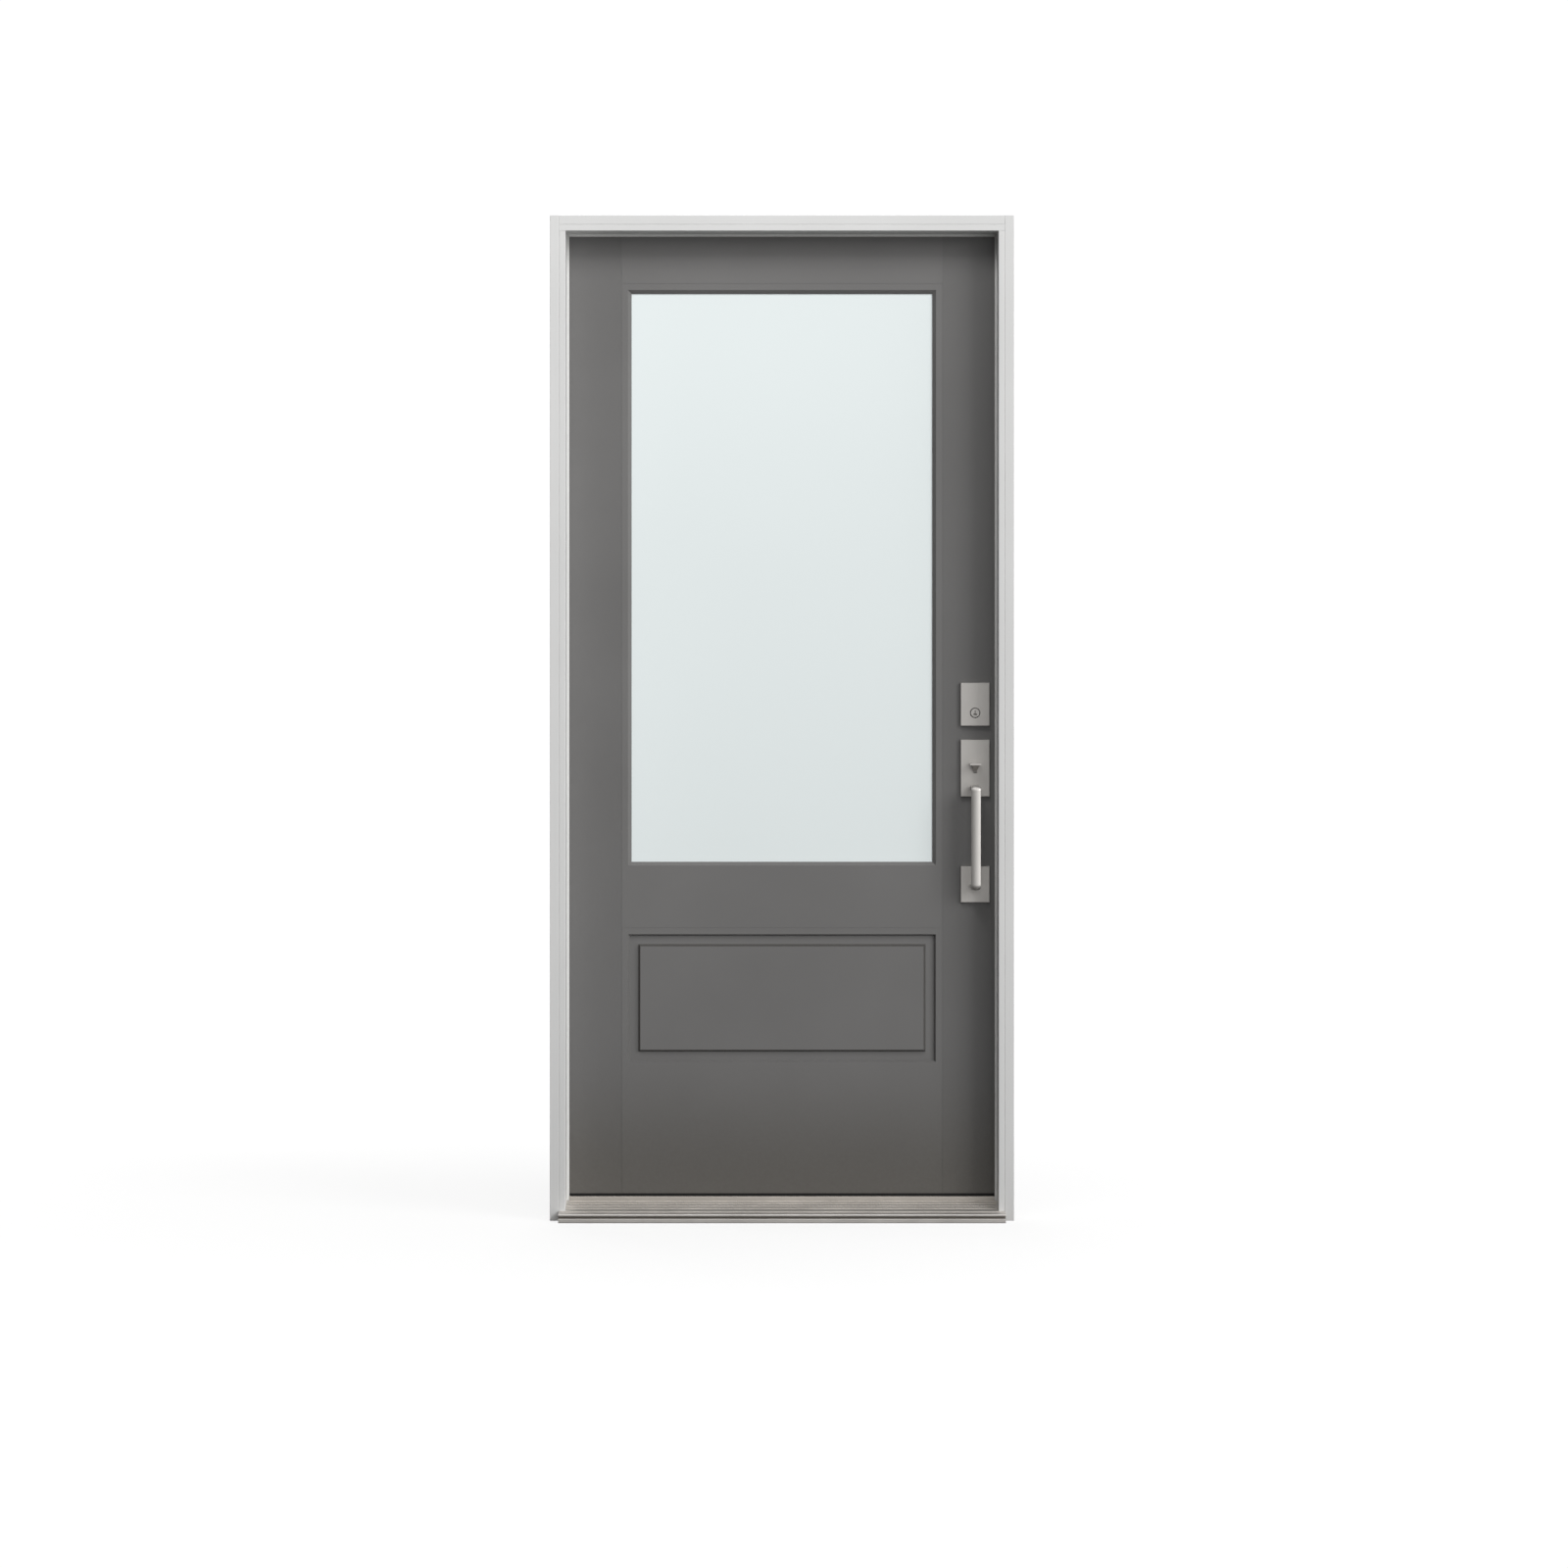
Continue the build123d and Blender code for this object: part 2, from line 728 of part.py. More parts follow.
with BuildPart() as glazing_bead:
    throat = (cut_width - 2 * bead_clearance, cut_height - 2 * bead_clearance)
    flange = (cut_width + 2 * bead_flange_width, cut_height + 2 * bead_flange_width)
    opening = (glass_width, glass_height)
    start = outside.offset(bead_front - slab_front)
    ring(start, lite_centre, throat, opening, slab_back - bead_front)
    ring(outside.offset(slab_thickness), lite_centre, flange, opening, bead_proud)
    front_edges = faces().sort_by(Axis.Y)[-1].edges()
    chamfer(front_edges, bead_bevel)
glazing_bead.part.label = "glazing_bead"
export_step(glazing_bead.part, "parts/glazing_bead.step")

# Sweep under the slab: a base strip with soft fins that reach down to the cap
with BuildPart() as door_sweep:
    sweep_edge = lock_edge(slab_front)
    with BuildSketch(Plane.YZ.offset(hinge_edge)):
        with Locations((slab_middle, slab_bottom - sweep_base / 2)):
            Rectangle(sweep_depth, sweep_base)
        for fin in range(sweep_fins):
            y = slab_middle + (fin / (sweep_fins - 1) - 0.5) * (sweep_depth - sweep_fin_width)
            with Locations((y, slab_bottom - sweep_height / 2)):
                Rectangle(sweep_fin_width, sweep_height)
    extrude(amount=sweep_edge - hinge_edge)
door_sweep.part.label = "door_sweep"
export_step(door_sweep.part, "parts/door_sweep.step")

# Edge plates with their bolts drawn back flush
for name, centre, size in bolts:
    with BuildPart() as edge_plate:
        with BuildSketch(edge_plane(centre)):
            Rectangle(faceplate_width, faceplate_height)
            Rectangle(
                *(side + 2 * bolt_bore_clearance for side in size), mode=Mode.SUBTRACT
            )
        extrude(amount=faceplate_thickness)
    edge_plate.part.label = f"{name}_faceplate"
    export_step(edge_plate.part, f"parts/{name}_faceplate.step")
    with BuildPart() as bolt:
        with BuildSketch(edge_plane(centre)):
            Rectangle(*size)
        extrude(amount=bolt_depth)
    bolt.part.label = f"{name}_bolt"
    export_step(bolt.part, f"parts/{name}_bolt.step")


# Planes for the furniture, facing away from the slab on each side
outer_side = Plane((lock_line, slab_front, 0), x_dir=(1, 0, 0), z_dir=(0, -1, 0))
inner_side = Plane((lock_line, slab_back, 0), x_dir=(-1, 0, 0), z_dir=(0, 1, 0))


def bevelled_plate(plane, foot, height):
    """Cover plate on a face of the slab, bevelled round its front."""
    with BuildSketch(plane) as outline:
        with Locations((0, foot + height / 2)):
            Rectangle(plate_width, height)
    extrude(outline.sketch, amount=plate_thickness)
    front = faces().filter_by(lambda face: face.normal_at().dot(plane.z_dir) > 0.99)
    chamfer(front.edges(), plate_bevel)


# Outside furniture: lock plate with its cylinder, then the two plates of the handle
with BuildPart() as deadbolt_plate:
    bevelled_plate(outer_side, deadbolt_plate_foot, deadbolt_plate_height)
    with BuildSketch(outer_side):
        with Locations((0, cylinder_centre)):
            Circle(housing_radius + ring_gap)
    extrude(amount=plate_thickness, mode=Mode.SUBTRACT)
deadbolt_plate.part.label = "deadbolt_plate"
export_step(deadbolt_plate.part, "parts/deadbolt_plate.step")

with BuildPart() as lock_cylinder:
    with BuildSketch(outer_side.offset(-housing_length)):
        with Locations((0, cylinder_centre)):
            Circle(housing_radius)
    extrude(amount=housing_length + plate_thickness + housing_proud)
    chamfer(faces().sort_by(Axis.Y)[0].edges(), housing_bevel)
    with BuildSketch(outer_side.offset(plate_thickness + housing_proud)):
        with Locations((0, cylinder_centre)):
            Circle(plug_radius + running_clearance)
    extrude(amount=-(plug_length + fit_clearance), mode=Mode.SUBTRACT)
lock_cylinder.part.label = "lock_cylinder"
export_step(lock_cylinder.part, "parts/lock_cylinder.step")

with BuildPart() as key_plug:
    plug_front = outer_side.offset(plate_thickness + housing_proud - plug_inset)
    with BuildSketch(plug_front):
        with Locations((0, cylinder_centre)):
            Circle(plug_radius)
    extrude(amount=-(plug_length - plug_inset))
    with BuildSketch(plug_front):
        with Locations((0, cylinder_centre)):
            Rectangle(keyway_width, keyway_height)
        with Locations((0, cylinder_centre - (keyway_height - keyway_foot[1]) / 2)):
            Rectangle(*keyway_foot)
    extrude(amount=-keyway_depth, mode=Mode.SUBTRACT)
key_plug.part.label = "key_plug"
export_step(key_plug.part, "parts/key_plug.step")

# Handle plate with a recess and a fixed pin for the thumb piece
thumb_pivot_y = plate_face + thumb_pivot_inset
recess_radius = thumb_hub_radius + thumb_recess_margin
recess_width = thumb_hub_width + thumb_recess_margin
with BuildPart() as handle_plate:
    bevelled_plate(outer_side, handle_plate_foot, handle_plate_height)
    block(
        (lock_line - recess_width / 2, lock_line + recess_width / 2),
        (plate_face, thumb_pivot_y + recess_radius),
        (thumb_pivot_height - recess_radius, thumb_pivot_height + recess_radius),
        Mode.SUBTRACT,
    )
    with BuildSketch(Plane.YZ.offset(lock_line - recess_width / 2)):
        with Locations((thumb_pivot_y, thumb_pivot_height)):
            Circle(thumb_pin_radius)
    extrude(amount=recess_width)
handle_plate.part.label = "handle_plate"
export_step(handle_plate.part, "parts/handle_plate.step")

with BuildPart() as grip_foot_plate:
    bevelled_plate(outer_side, grip_low - foot_plate_below, foot_plate_height)
grip_foot_plate.part.label = "grip_foot_plate"
export_step(grip_foot_plate.part, "parts/grip_foot_plate.step")

# Grip: crowned section carried along a bow from one plate to the other
with BuildPart() as pull_grip:
    grip_top = grip_high - grip_thickness / 2
    grip_bottom = grip_low + grip_thickness / 2
    grip_y = slab_front - grip_stand_off
    with BuildLine():
        FilletPolyline(
            (lock_line, plate_face, grip_top),
            (lock_line, grip_y, grip_top),
            (lock_line, grip_y, grip_bottom),
            (lock_line, plate_face, grip_bottom),
            radius=grip_corner,
        )
    section = Plane((lock_line, plate_face, grip_top), x_dir=(1, 0, 0), z_dir=(0, -1, 0))
    half = grip_width / 2
    shoulder = grip_thickness / 2 - grip_crown
    with BuildSketch(section):
        with BuildLine():
            Polyline(
                (half, shoulder),
                (half, -grip_thickness / 2),
                (-half, -grip_thickness / 2),
                (-half, shoulder),
            )
            ThreePointArc((-half, shoulder), (0, grip_thickness / 2), (half, shoulder))
        make_face()
    sweep()
pull_grip.part.label = "pull_grip"
export_step(pull_grip.part, "parts/pull_grip.step")

# Thumb piece: a pad on a web that narrows down to its hub
with BuildPart() as thumb_piece:
    pad_back = plate_face - thumb_seat_gap
    pad_foot = thumb_top - thumb_thickness
    (web_top, web_reach), (web_foot, web_foot_reach) = thumb_web_top, thumb_web_foot
    with BuildSketch(Plane.YZ.offset(lock_line - web_top / 2)):
        with BuildLine():
            Polyline(
                (pad_back, pad_foot),
                (pad_back - web_reach, pad_foot),
                (pad_back - web_foot_reach, thumb_pivot_height),
                (pad_back, thumb_pivot_height),
                close=True,
            )
        make_face()
    extrude(amount=web_top)
    with BuildSketch(Plane.XZ.offset(-pad_back)):
        with BuildLine():
            Polyline(
                (lock_line - web_top / 2, pad_foot),
                (lock_line + web_top / 2, pad_foot),
                (lock_line + web_foot / 2, thumb_pivot_height),
                (lock_line - web_foot / 2, thumb_pivot_height),
                close=True,
            )
        make_face()
    extrude(amount=web_reach, mode=Mode.INTERSECT)
    with BuildSketch(Plane.XY.offset(pad_foot)):
        with Locations((lock_line, pad_back - thumb_reach / 2)):
            Rectangle(thumb_width, thumb_reach)
    extrude(amount=thumb_thickness)
    chamfer(edges().group_by(Axis.Z)[-1], thumb_bevel)
    with BuildSketch(Plane.YZ.offset(lock_line - thumb_hub_width / 2)):
        with Locations((thumb_pivot_y, thumb_pivot_height)):
            Circle(thumb_hub_radius)
    extrude(amount=thumb_hub_width)
    with BuildSketch(Plane.YZ.offset(lock_line - thumb_hub_width / 2)):
        with Locations((thumb_pivot_y, thumb_pivot_height)):
            Circle(thumb_pin_radius + running_clearance)
    extrude(amount=thumb_hub_width, mode=Mode.SUBTRACT)
thumb_piece.part.label = "thumb_piece"
export_step(thumb_piece.part, "parts/thumb_piece.step")

# Inside furniture: plates like the outer ones, a lever and a turn
with BuildPart() as lever_plate:
    bevelled_plate(inner_side, handle_plate_foot, handle_plate_height)
lever_plate.part.label = "lever_plate"
export_step(lever_plate.part, "parts/lever_plate.step")

with BuildPart() as inside_lever:
    with BuildSketch(inner_side.offset(plate_thickness)):
        with Locations((0, latch_centre)):
            Circle(lever_spindle_radius)
    extrude(amount=lever_spindle_length)
    lever_front = plate_thickness + lever_spindle_length
    with BuildSketch(inner_side.offset(lever_front - lever_thickness)):
        with Locations((lever_length / 2 - lever_width / 2, latch_centre)):
            RectangleRounded(lever_length, lever_width, lever_width / 2 - board_arris)
    extrude(amount=lever_thickness)
    chamfer(faces().sort_by(Axis.Y)[-1].edges(), lever_bevel)
inside_lever.part.label = "inside_lever"
export_step(inside_lever.part, "parts/inside_lever.step")

with BuildPart() as turn_plate:
    bevelled_plate(inner_side, deadbolt_plate_foot, deadbolt_plate_height)
turn_plate.part.label = "turn_plate"
export_step(turn_plate.part, "parts/turn_plate.step")

with BuildPart() as thumb_turn:
    with BuildSketch(inner_side.offset(plate_thickness)):
        with Locations((0, cylinder_centre)):
            Circle(turn_rose_radius)
    extrude(amount=turn_rose_height)
    with BuildSketch(inner_side.offset(plate_thickness + turn_rose_height)):
        with Locations((0, cylinder_centre)):
            Rectangle(turn_width, turn_length)
    extrude(amount=turn_height)
    chamfer(faces().sort_by(Axis.Y)[-1].edges(), turn_bevel)
thumb_turn.part.label = "thumb_turn"
export_step(thumb_turn.part, "parts/thumb_turn.step")
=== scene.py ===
import math

import bmesh
import bpy
import numpy as np
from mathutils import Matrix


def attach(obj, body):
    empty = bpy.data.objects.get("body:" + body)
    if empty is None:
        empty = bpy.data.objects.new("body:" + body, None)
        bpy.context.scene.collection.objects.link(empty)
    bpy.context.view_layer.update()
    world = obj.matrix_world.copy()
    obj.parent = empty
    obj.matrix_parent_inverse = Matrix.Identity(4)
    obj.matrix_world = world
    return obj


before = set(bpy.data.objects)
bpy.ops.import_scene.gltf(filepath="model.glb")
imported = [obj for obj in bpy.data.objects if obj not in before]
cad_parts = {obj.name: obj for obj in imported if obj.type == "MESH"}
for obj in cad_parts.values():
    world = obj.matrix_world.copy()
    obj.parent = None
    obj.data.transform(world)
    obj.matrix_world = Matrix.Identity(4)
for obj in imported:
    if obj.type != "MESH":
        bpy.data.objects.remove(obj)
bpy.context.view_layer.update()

# The studio: the door stands on seamless white paper and is seen square on from nearly nine
# metres, at chest height. A far soft light and surroundings that are brightest on the right light
# its front, and small fills reach it from above, from behind and from the left.
view_distance = 8.9
view_aside = 0.0003
eye_height = 1.031
focal_length = 99.6
sensor_width = 36
horizon_shift = -0.0419
middle_shift = 0.0012


def colour(code):
    """Turns an sRGB hex code into linear red, green and blue with an alpha of one."""
    shown = [int(code[i : i + 2], 16) / 255 for i in (1, 3, 5)]
    return (*(c / 12.92 if c <= 0.04045 else ((c + 0.055) / 1.055) ** 2.4 for c in shown), 1.0)


def add(tree, kind, inputs=(), **settings):
    """Adds a node: settings are its properties, an input is a value or the socket that feeds it."""
    node = tree.nodes.new("ShaderNode" + kind)
    for name, value in settings.items():
        setattr(node, name, value)
    for key, value in dict(inputs).items():
        if isinstance(value, bpy.types.NodeSocket):
            tree.links.new(value, node.inputs[key])
        else:
            node.inputs[key].default_value = value
    return node


def surface(name, **sockets):
    """Starts a material and sets constants on its own shader, with underscores for spaces."""
    material = bpy.data.materials.new(name)
    material.use_nodes = True
    shader = material.node_tree.nodes["Principled BSDF"]
    for key, value in sockets.items():
        shader.inputs[key.replace("_", " ")].default_value = value
    return material, material.node_tree, shader


def mesh_piece(name, vertices, faces, material):
    """Makes an object at the origin from an array of points and a list of faces."""
    mesh = bpy.data.meshes.new(name)
    mesh.from_pydata(vertices, [], faces)
    mesh.materials.append(material)
    mesh.update()
    piece = bpy.data.objects.new(name, mesh)
    bpy.context.scene.collection.objects.link(piece)
    return piece


camera = bpy.data.objects.new("camera", bpy.data.cameras.new("camera"))
camera.location = (view_aside, -view_distance, eye_height)
camera.rotation_euler = (math.radians(90), 0, 0)
camera.data.lens = focal_length
camera.data.sensor_width = sensor_width
camera.data.shift_x = middle_shift
camera.data.shift_y = horizon_shift
bpy.context.scene.collection.objects.link(camera)
bpy.context.scene.camera = camera
bpy.context.scene.view_settings.view_transform = "Standard"

# White paper is matt. To the camera it fades into the white behind it round a soft shadow that
# lies to the left, and to other rays it is a dark patch round the feet, which keeps bounce low.
floor_size = 30.0
shadow_offset = (0.5, -0.35, 0.0)
shadow_span = (0.2, 2.8)
shadow_depth = 0.24
patch_span = (0.4, 1.3)
patch_depth = 0.9
floor_material, tree, shader = surface("white_floor_paper", Roughness=0.95)
place = add(tree, "TexCoord").outputs["Object"]
shifted = add(tree, "VectorMath", {0: place, 1: shadow_offset}, operation="ADD")
from_shadow = add(tree, "VectorMath", {0: shifted.outputs["Vector"]}, operation="LENGTH")
fade = add(
    tree,
    "MapRange",
    {
        "Value": from_shadow.outputs["Value"],
        "From Min": shadow_span[0],
        "From Max": shadow_span[1],
        "To Min": shadow_depth,
        "To Max": 0.0,
    },
    interpolation_type="SMOOTHSTEP",
)
from_middle = add(tree, "VectorMath", {0: place}, operation="LENGTH")
near = add(
    tree,
    "MapRange",
    {
        "Value": from_middle.outputs["Value"],
        "From Min": patch_span[0],
        "From Max": patch_span[1],
        "To Min": patch_depth,
        "To Max": 0.0,
    },
    interpolation_type="SMOOTHSTEP",
)
rays = add(tree, "LightPath")
cover = add(
    tree,
    "Mix",
    {0: rays.outputs["Is Camera Ray"], 2: near.outputs["Result"], 3: fade.outputs["Result"]},
    data_type="FLOAT",
)
tree.links.new(cover.outputs[0], shader.inputs["Alpha"])
bounce = add(
    tree,
    "Mix",
    {0: rays.outputs["Is Camera Ray"], 6: colour("#303030"), 7: colour("#F4F4F3")},
    data_type="RGBA",
)
tree.links.new(bounce.outputs[2], shader.inputs["Base Color"])
corners = np.array([(-1, -1, 0), (1, -1, 0), (1, 1, 0), (-1, 1, 0)]) * floor_size
floor = mesh_piece("floor", corners, [(0, 1, 2, 3)], floor_material)

# The surroundings give a broad lobe of light, the same in front and behind but for its strength.
# The camera itself sees them plain white.
brightest_way = (0.63, 0.74, 0.23)
lobe_edge = 0.26
lobe_foot = 0.015
lobe_peak = 0.98
front_share = 1.0
rear_share = 0.5
turn_span = 0.3
seen_white = 1.05
world = bpy.data.worlds.new("white_surroundings")
world.use_nodes = True
bpy.context.scene.world = world
tree = world.node_tree
tree.nodes.clear()
direction = add(tree, "TexCoord").outputs["Generated"]
parts = add(tree, "SeparateXYZ", {"Vector": direction})
facing = add(tree, "Math", {0: parts.outputs["Y"]}, operation="ABSOLUTE")
both_ways = add(
    tree,
    "CombineXYZ",
    {"X": parts.outputs["X"], "Y": facing.outputs[0], "Z": parts.outputs["Z"]},
)
toward = add(
    tree,
    "VectorMath",
    {0: both_ways.outputs[0], 1: brightest_way},
    operation="DOT_PRODUCT",
)
lobe = add(
    tree,
    "MapRange",
    {
        "Value": toward.outputs["Value"],
        "From Min": lobe_edge,
        "To Min": lobe_foot,
        "To Max": lobe_peak,
    },
)
share = add(
    tree,
    "MapRange",
    {
        "Value": parts.outputs["Y"],
        "From Min": -turn_span,
        "From Max": turn_span,
        "To Min": front_share,
        "To Max": rear_share,
    },
)
glow = add(
    tree,
    "Math",
    {0: lobe.outputs["Result"], 1: share.outputs["Result"]},
    operation="MULTIPLY",
)
rays = add(tree, "LightPath")
strength = add(
    tree,
    "Mix",
    {0: rays.outputs["Is Camera Ray"], 2: glow.outputs[0], 3: seen_white},
    data_type="FLOAT",
)
background = add(tree, "Background", {"Color": (1, 1, 1, 1), "Strength": strength.outputs[0]})
add(tree, "OutputWorld", {"Surface": background.outputs["Background"]})

aim_height = 1.1
for name, place, size, power in (
    ("key", (24.0, -22.0, 14.5), 17.0, 5000),
    ("high", (-0.35, -2.2, 4.0), 1.2, 34),
    ("back", (-1.5, 7.0, 4.5), 5.0, 260),
    ("left", (-9.0, 2.5, 2.5), 4.0, 290),
):
    light = bpy.data.objects.new(f"{name}_light", bpy.data.lights.new(f"{name}_light", "AREA"))
    light.data.size = size
    light.data.energy = power
    light.location = place
    aim = np.array((0, 0, aim_height)) - np.array(place)
    light.rotation_euler = (
        math.acos(-aim[2] / np.linalg.norm(aim)),
        0,
        math.atan2(aim[1], aim[0]) - math.pi / 2,
    )
    bpy.context.scene.collection.objects.link(light)

# The frame: two legs, a head and their planted stops, all clear pine boards with eased edges,
# primed and sprayed in off-white exterior enamel. The long grain still telegraphs faintly through
# the paint, and the spray leaves an orange peel about two millimetres across.
enamel_colour = "#E6E6E5"
enamel_shade = "#DFDFDE"
grain_width = 0.004
grain_length = 0.35
cloud_size = 0.25
peel_size = 0.0022


def painted_board(name, along):
    """Off-white enamel on pine: grain stretched along one axis, orange peel, and slow clouding.

    The enamel is even and satin to the eye; only a raking light finds the grain under it.
    """
    material, tree, shader = surface(name, Roughness=0.5, IOR=1.45)
    place = add(tree, "TexCoord").outputs["Object"]
    scale = [1 / grain_width] * 3
    scale[along] = 1 / grain_length
    grain_place = add(tree, "Mapping", {"Vector": place, "Scale": scale})
    grain = add(
        tree,
        "TexNoise",
        {"Vector": grain_place.outputs["Vector"], "Scale": 1.0, "Detail": 4.0, "Distortion": 0.3},
    )
    clouds = add(tree, "TexNoise", {"Vector": place, "Scale": 1 / cloud_size, "Detail": 3.0})
    mottle = add(tree, "Math", {0: grain.outputs["Fac"], 1: 0.3}, operation="MULTIPLY")
    mottle = add(
        tree,
        "Math",
        {0: clouds.outputs["Fac"], 1: 0.7, 2: mottle.outputs[0]},
        operation="MULTIPLY_ADD",
    )
    even = add(tree, "MapRange", {"Value": mottle.outputs[0], "From Min": 0.3, "From Max": 0.7})
    tint = add(
        tree,
        "Mix",
        {0: even.outputs["Result"], 6: colour(enamel_shade), 7: colour(enamel_colour)},
        data_type="RGBA",
    )
    tree.links.new(tint.outputs[2], shader.inputs["Base Color"])
    peel = add(tree, "TexNoise", {"Vector": place, "Scale": 1 / peel_size, "Detail": 1.0})
    dull = add(tree, "MapRange", {"Value": peel.outputs["Fac"], "To Min": 0.42, "To Max": 0.58})
    tree.links.new(dull.outputs["Result"], shader.inputs["Roughness"])
    raised = add(
        tree,
        "Bump",
        {"Height": grain.outputs["Fac"], "Strength": 0.1, "Distance": 0.0003},
    )
    bump = add(
        tree,
        "Bump",
        {
            "Height": peel.outputs["Fac"],
            "Strength": 0.08,
            "Distance": 0.0001,
            "Normal": raised.outputs["Normal"],
        },
    )
    tree.links.new(bump.outputs["Normal"], shader.inputs["Normal"])
    return material


def dress(material, *nodes):
    """Gives a material to CAD pieces through their slots."""
    for name in nodes:
        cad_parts[name].material_slots[0].material = material


leg_enamel = painted_board("enamel_on_upright_pine", 2)
head_enamel = painted_board("enamel_on_level_pine", 0)
dress(leg_enamel, "hinge_jamb", "strike_jamb", "hinge_stop", "strike_stop")
dress(head_enamel, "head_jamb", "head_stop")

# The seals: compression strips of foam in a thin pale skin, pushed into the corner behind the
# stops. The skin looks matt and soft, with faint creases across its length and fine pores.
crease_size = 0.00455
pore_size = 0.0012
seal_foam, tree, shader = surface("skinned_foam_seal", Roughness=0.7, IOR=1.45)
place = add(tree, "TexCoord").outputs["Object"]
creases = add(tree, "TexNoise", {"Vector": place, "Scale": 1 / crease_size, "Detail": 3.0})
shade = add(
    tree,
    "Mix",
    {0: creases.outputs["Fac"], 6: colour("#DCDCDA"), 7: colour("#E8E8E6")},
    data_type="RGBA",
)
tree.links.new(shade.outputs[2], shader.inputs["Base Color"])
pores = add(tree, "TexVoronoi", {"Vector": place, "Scale": 1 / pore_size})
bump = add(tree, "Bump", {"Height": creases.outputs["Fac"], "Strength": 0.3, "Distance": 0.0004})
bump = add(
    tree,
    "Bump",
    {
        "Height": pores.outputs["Distance"],
        "Strength": 0.2,
        "Distance": 0.0001,
        "Normal": bump.outputs["Normal"],
    },
)
tree.links.new(bump.outputs["Normal"], shader.inputs["Normal"])
dress(seal_foam, "hinge_seal", "strike_seal", "head_seal")

# The sill: one aluminium extrusion for the ribbed tread and nose and one for the cap, left in a
# warm grey satin anodised finish, over a core of filled composite with sawn ends. The cap is drawn
# darker than the tread, painted shade for the shadow that the leaf and frame throw on it, and the
# groove under the nose is drawn dark, painted shade for its deep hollow.
die_line_width = 0.0012
die_line_length = 0.6
bloom_size = 0.0714
groove_span = (0.0088, 0.0132)
groove_mouth = -0.0405
tread_tones = ("#E0DCD7", "#EEEAE5")
# The cap's tones are darker than the tread's as painted shade, for the shadow of the leaf and frame
# above it.
shaded_cap_tones = ("#B8B2AA", "#C6C0B8")
# The groove's dark colour is painted shade for its deep hollow under the nose.
groove_painted_shade = "#9C968E"


def anodised(name, dark, light):
    """Satin anodised extrusion: die lines along X, a slow bloom, and painted shade in the front
    groove.

    The die lines stretch a highlight across the sill, and the etch under the anodising keeps it
    soft. Painted shade, a dark colour for the groove's deep hollow, goes where a place is between
    the groove's two heights and behind its mouth.
    """
    material, tree, shader = surface(name, Metallic=0.9, Roughness=0.5)
    place = add(tree, "TexCoord").outputs["Object"]
    drawn_place = add(
        tree,
        "Mapping",
        {"Vector": place, "Scale": (1 / die_line_length, 1 / die_line_width, 1 / die_line_width)},
    )
    drawn = add(
        tree,
        "TexNoise",
        {"Vector": drawn_place.outputs["Vector"], "Scale": 1.0, "Detail": 4.0},
    )
    bloom = add(tree, "TexNoise", {"Vector": place, "Scale": 1 / bloom_size, "Detail": 3.0})
    mixed = add(tree, "Math", {0: drawn.outputs["Fac"], 1: bloom.outputs["Fac"]}, operation="ADD")
    even = add(tree, "MapRange", {"Value": mixed.outputs[0], "From Min": 0.7, "From Max": 1.3})
    shade = add(
        tree,
        "Mix",
        {0: even.outputs["Result"], 6: colour(dark), 7: colour(light)},
        data_type="RGBA",
    )
    parts = add(tree, "SeparateXYZ", {"Vector": place})
    # Painted shade: the groove under the nose is drawn in a dark colour for its hollow.
    foot, top = groove_span
    above = add(tree, "Math", {0: parts.outputs["Z"], 1: foot}, operation="GREATER_THAN")
    below = add(tree, "Math", {0: parts.outputs["Z"], 1: top}, operation="LESS_THAN")
    behind = add(tree, "Math", {0: parts.outputs["Y"], 1: groove_mouth}, operation="GREATER_THAN")
    in_groove_mask = add(tree, "Math", {0: above.outputs[0], 1: below.outputs[0]}, operation="MULTIPLY")
    in_groove_mask = add(tree, "Math", {0: in_groove_mask.outputs[0], 1: behind.outputs[0]}, operation="MULTIPLY")
    groove_shaded = add(
        tree,
        "Mix",
        {0: in_groove_mask.outputs[0], 6: shade.outputs[2], 7: colour(groove_painted_shade)},
        data_type="RGBA",
    )
    tree.links.new(groove_shaded.outputs[2], shader.inputs["Base Color"])
    dull = add(
        tree,
        "MapRange",
        {
            "Value": mixed.outputs[0],
            "From Min": 0.7,
            "From Max": 1.3,
            "To Min": 0.46,
            "To Max": 0.54,
        },
    )
    tree.links.new(dull.outputs["Result"], shader.inputs["Roughness"])
    bump = add(
        tree,
        "Bump",
        {"Height": drawn.outputs["Fac"], "Strength": 0.15, "Distance": 0.0002},
    )
    tree.links.new(bump.outputs["Normal"], shader.inputs["Normal"])
    return material


dress(anodised("warm_anodised_tread", *tread_tones), "sill_tread")
# The cap gets the darker tones, which are painted shade.
dress(anodised("warm_anodised_cap_painted_shade", *shaded_cap_tones), "sill_cap")

# Sawn composite is dull and brown, with pale flecks of filler and torn fibres along the board.
fleck_size = 0.0018
fibre_width = 0.002
fibre_length = 0.05
composite, tree, shader = surface("sawn_composite", Roughness=0.8)
place = add(tree, "TexCoord").outputs["Object"]
flecks = add(tree, "TexVoronoi", {"Vector": place, "Scale": 1 / fleck_size})
fibre_place = add(
    tree,
    "Mapping",
    {"Vector": place, "Scale": (1 / fibre_length, 1 / fibre_width, 1 / fibre_width)},
)
fibres = add(
    tree,
    "TexNoise",
    {"Vector": fibre_place.outputs["Vector"], "Scale": 1.0, "Detail": 5.0},
)
mixed = add(
    tree,
    "Math",
    {0: flecks.outputs["Distance"], 1: fibres.outputs["Fac"]},
    operation="ADD",
)
even = add(tree, "MapRange", {"Value": mixed.outputs[0], "From Min": 0.5, "From Max": 1.2})
